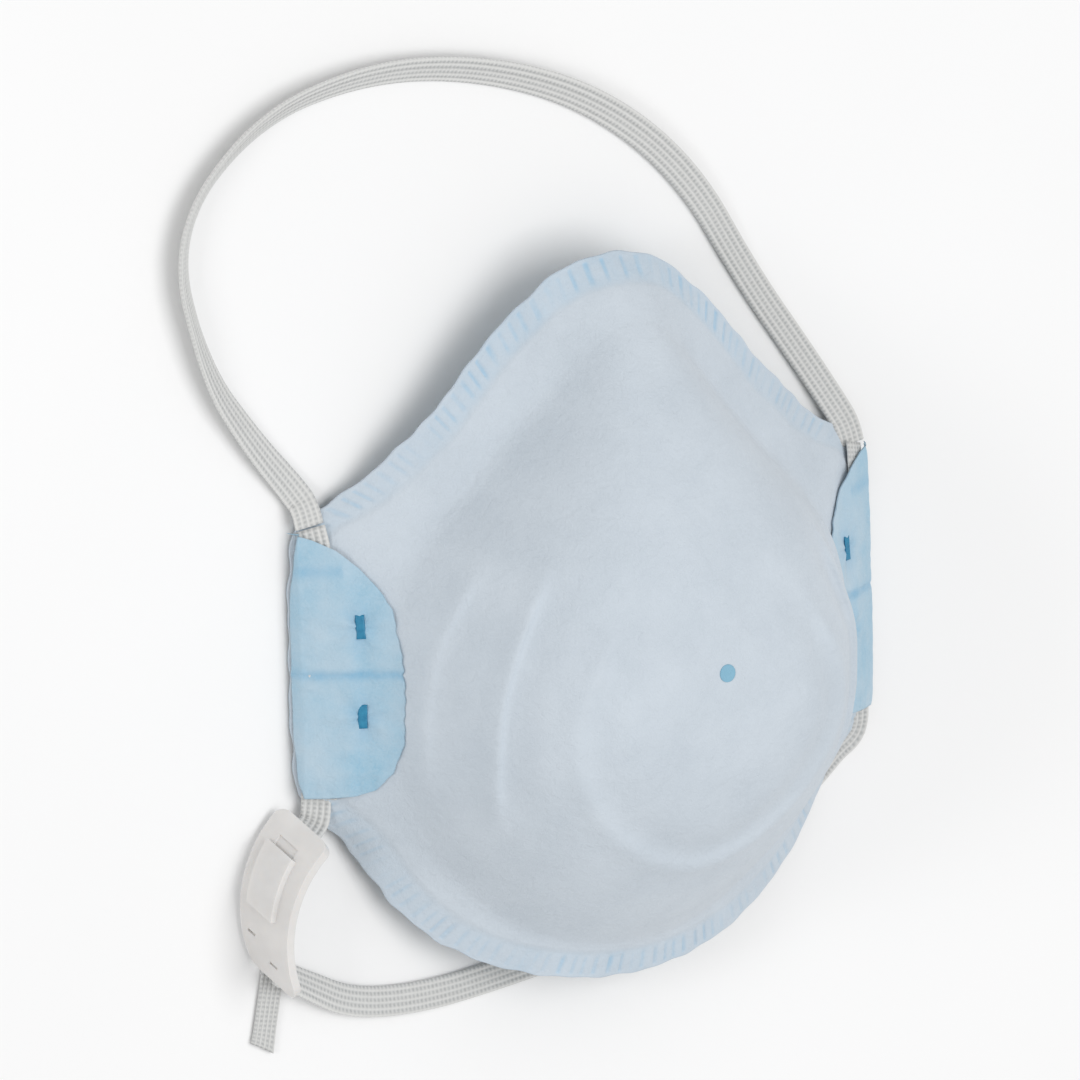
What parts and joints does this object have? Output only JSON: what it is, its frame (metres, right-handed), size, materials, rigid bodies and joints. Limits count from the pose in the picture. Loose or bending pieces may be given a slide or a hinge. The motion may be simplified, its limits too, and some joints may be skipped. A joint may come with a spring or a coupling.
{
  "type": "disposable dust mask",
  "caption": "Cup-shaped disposable dust mask, white moulded shell with blue side flaps, elastic strap in side channels and a plastic strap buckle.",
  "frame": {"origin": "middle of the mask's box, on the plane it stands on", "axes": "+Z the front of the mask, +Y towards the nose, X ear to ear"},
  "size_m": [0.1582, 0.1899, 0.0525],
  "materials": {
    "white_nonwoven": "matte",
    "filter_media": "matte",
    "blue_lining": "matte",
    "welded_web": "satin",
    "elastic": "matte",
    "buckle_plastic": "satin"
  },
  "bodies": {
    "mask": {"outer_shell": "white_nonwoven", "filter_layer": "filter_media", "inner_lining": "blue_lining", "apex_weld": "welded_web", "side_flap_left": "blue_lining", "side_flap_right": "blue_lining", "flap_welds_left": "welded_web", "flap_welds_right": "welded_web", "channel_strap_left": "elastic", "channel_strap_right": "elastic"},
    "head_band": {"head_strap": "elastic"},
    "neck_band": {"neck_strap": "elastic", "buckle_strap": "elastic", "buckle": "buckle_plastic"},
    "band_tail": {"strap_tail": "elastic"}
  },
  "joints": [
    {"name": "head_band_swing", "type": "hinge", "parent": "mask", "child": "head_band", "pos_m": [0, 0.0298, 0.001], "axis": [1, 0, 0], "range_deg": [-100, 90]},
    {"name": "neck_band_swing", "type": "hinge", "parent": "mask", "child": "neck_band", "pos_m": [0, -0.0328, 0.0009], "axis": [1, 0, 0], "range_deg": [0, 100]},
    {"name": "tail_pull", "type": "slide", "parent": "neck_band", "child": "band_tail", "axis": [-0.19, -0.9818, 0], "range_m": [0, 0.012]}
  ]
}
